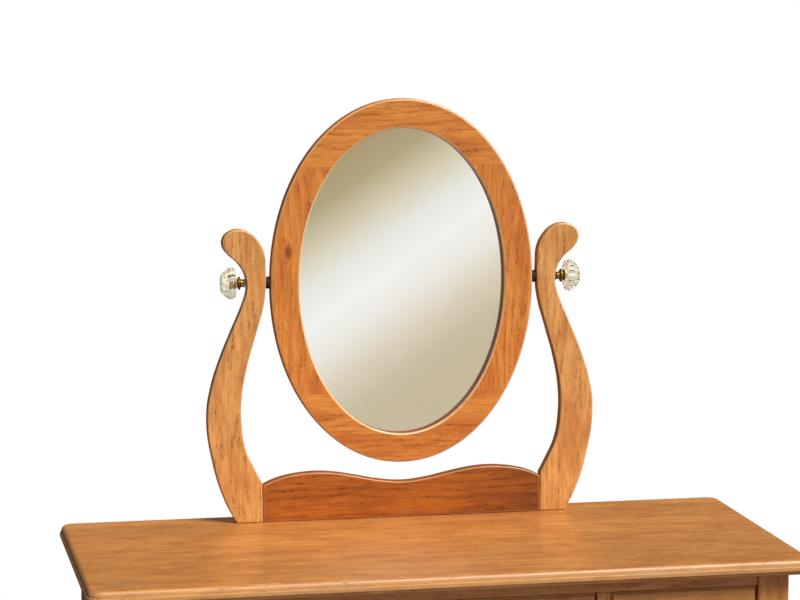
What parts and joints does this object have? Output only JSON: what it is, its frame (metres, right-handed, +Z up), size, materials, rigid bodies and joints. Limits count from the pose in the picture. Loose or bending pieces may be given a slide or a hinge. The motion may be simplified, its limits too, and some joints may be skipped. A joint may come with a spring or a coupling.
{
  "type": "vanity table with mirror",
  "caption": "Oak dressing table on cabriole legs with drawers and a swinging oval mirror held between lyre-shaped posts by glass clamp knobs.",
  "frame": {"origin": "on the floor, under the middle of the object", "axes": "+Z up; -Y towards the person seated at the table; +X to that person's right"},
  "size_m": [1.016, 0.457, 1.386],
  "materials": {
    "oak": "golden oak stain under a satin lacquer, long open pores",
    "drawer_wood": "pale unfinished hardwood, sanded",
    "hardboard": "brown pressed fibre board, smooth face",
    "silvered_glass": "polished float glass, silvered on the back",
    "cut_glass": "clear pressed glass with polished facets",
    "brass": "aged turned brass with a dull gloss",
    "zinc_steel": "zinc plated steel",
    "brown_washer": "dark brown fibre and rubber friction washer"
  },
  "bodies": {
    "table": {"back_apron": "oak", "front_bottom_rail": "oak", "front_top_rail": "oak", "leg_back_left": "oak", "leg_back_right": "oak", "leg_front_left": "oak", "leg_front_right": "oak", "middle_runner_left": "drawer_wood", "middle_runner_right": "drawer_wood", "mirror_rail": "oak", "partition_left": "oak", "partition_right": "oak", "post_bolt_left": "zinc_steel", "post_bolt_right": "zinc_steel", "post_left": "oak", "post_right": "oak", "rail_dowel_left": "drawer_wood", "rail_dowel_right": "drawer_wood", "side_apron_left": "oak", "side_apron_right": "oak", "side_runner_left": "drawer_wood", "side_runner_right": "drawer_wood", "table_top": "oak"},
    "mirror": {"backing_board": "hardboard", "backing_clip_lower_left": "zinc_steel", "backing_clip_lower_right": "zinc_steel", "backing_clip_upper_left": "zinc_steel", "backing_clip_upper_right": "zinc_steel", "frame_bottom": "oak", "frame_insert_left": "brass", "frame_insert_right": "brass", "frame_left": "oak", "frame_right": "oak", "frame_top": "oak", "mirror_glass": "silvered_glass", "pivot_spacer_left": "brown_washer", "pivot_spacer_right": "brown_washer"},
    "clamp_knob_left": {"clamp_knob_glass_left": "cut_glass", "clamp_knob_seat_left": "brass", "pivot_bolt_left": "zinc_steel"},
    "clamp_knob_right": {"clamp_knob_glass_right": "cut_glass", "clamp_knob_seat_right": "brass", "pivot_bolt_right": "zinc_steel"},
    "drawer_left": {"drawer_left_bottom": "hardboard", "drawer_left_box": "drawer_wood", "drawer_left_front": "oak", "drawer_left_knob_glass": "cut_glass", "drawer_left_knob_seat": "brass"},
    "drawer_centre": {"drawer_centre_bottom": "hardboard", "drawer_centre_box": "drawer_wood", "drawer_centre_front": "oak", "drawer_centre_knob_glass": "cut_glass", "drawer_centre_knob_seat": "brass"},
    "drawer_right": {"drawer_right_bottom": "hardboard", "drawer_right_box": "drawer_wood", "drawer_right_front": "oak", "drawer_right_knob_glass": "cut_glass", "drawer_right_knob_seat": "brass"}
  },
  "joints": [
    {"name": "mirror_tilt", "type": "hinge", "parent": "table", "child": "mirror", "pos_m": [0, 0.1795, 1.1185], "axis": [1, 0, 0], "range_deg": [-90, 90]},
    {"name": "clamp_knob_left_turn", "type": "hinge", "parent": "table", "child": "clamp_knob_left", "pos_m": [-0.25, 0.1795, 1.1185], "axis": [-1, 0, 0], "range_deg": [0, 540]},
    {"name": "clamp_knob_right_turn", "type": "hinge", "parent": "table", "child": "clamp_knob_right", "pos_m": [0.25, 0.1795, 1.1185], "axis": [1, 0, 0], "range_deg": [0, 540]},
    {"name": "drawer_left_slide", "type": "slide", "parent": "table", "child": "drawer_left", "axis": [0, -1, 0], "range_m": [0, 0.25]},
    {"name": "drawer_centre_slide", "type": "slide", "parent": "table", "child": "drawer_centre", "axis": [0, -1, 0], "range_m": [0, 0.25]},
    {"name": "drawer_right_slide", "type": "slide", "parent": "table", "child": "drawer_right", "axis": [0, -1, 0], "range_m": [0, 0.25]}
  ]
}
